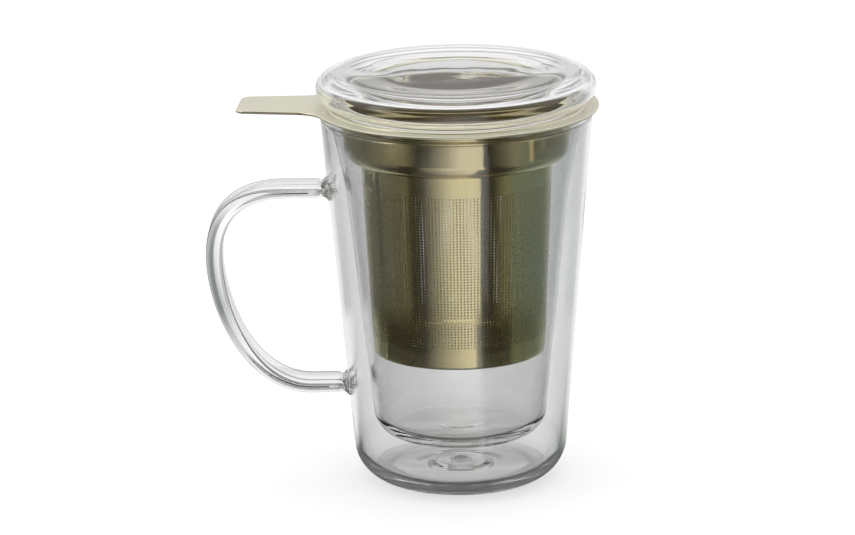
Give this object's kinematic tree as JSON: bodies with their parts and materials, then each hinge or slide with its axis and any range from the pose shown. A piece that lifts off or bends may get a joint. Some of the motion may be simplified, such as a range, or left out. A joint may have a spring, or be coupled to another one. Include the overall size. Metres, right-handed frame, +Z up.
{
  "type": "lidded tea mug with infuser",
  "caption": "Tapered double-wall glass tea mug with a glass strip handle, a gold-tone perforated infuser basket with a side tab, and a loose dished glass lid.",
  "frame": {"origin": "centre of the mug's foot ring, on the mug's axis at table height", "axes": "+Z up along the mug's axis, the handle and the infuser's tab point to -X"},
  "size_m": [0.1233, 0.0888, 0.131],
  "materials": {
    "clear_glass": "gloss",
    "gold_steel": "polished gold-tone",
    "clear_silicone": "satin"
  },
  "bodies": {
    "mug": {"outer_glass": "clear_glass", "inner_glass": "clear_glass", "handle": "clear_glass", "vent_plug": "clear_silicone"},
    "infuser": {"infuser_flange": "gold_steel", "infuser_collar": "gold_steel", "infuser_sleeve": "gold_steel", "infuser_pan": "gold_steel"},
    "lid": {"lid_glass": "clear_glass"}
  },
  "joints": [
    {"name": "infuser_lift", "type": "slide", "parent": "mug", "child": "infuser", "axis": [0, 0, 1], "range_m": [0, 0.1]},
    {"name": "lid_lift", "type": "slide", "parent": "infuser", "child": "lid", "axis": [0, 0, 1], "range_m": [0, 0.08]}
  ]
}
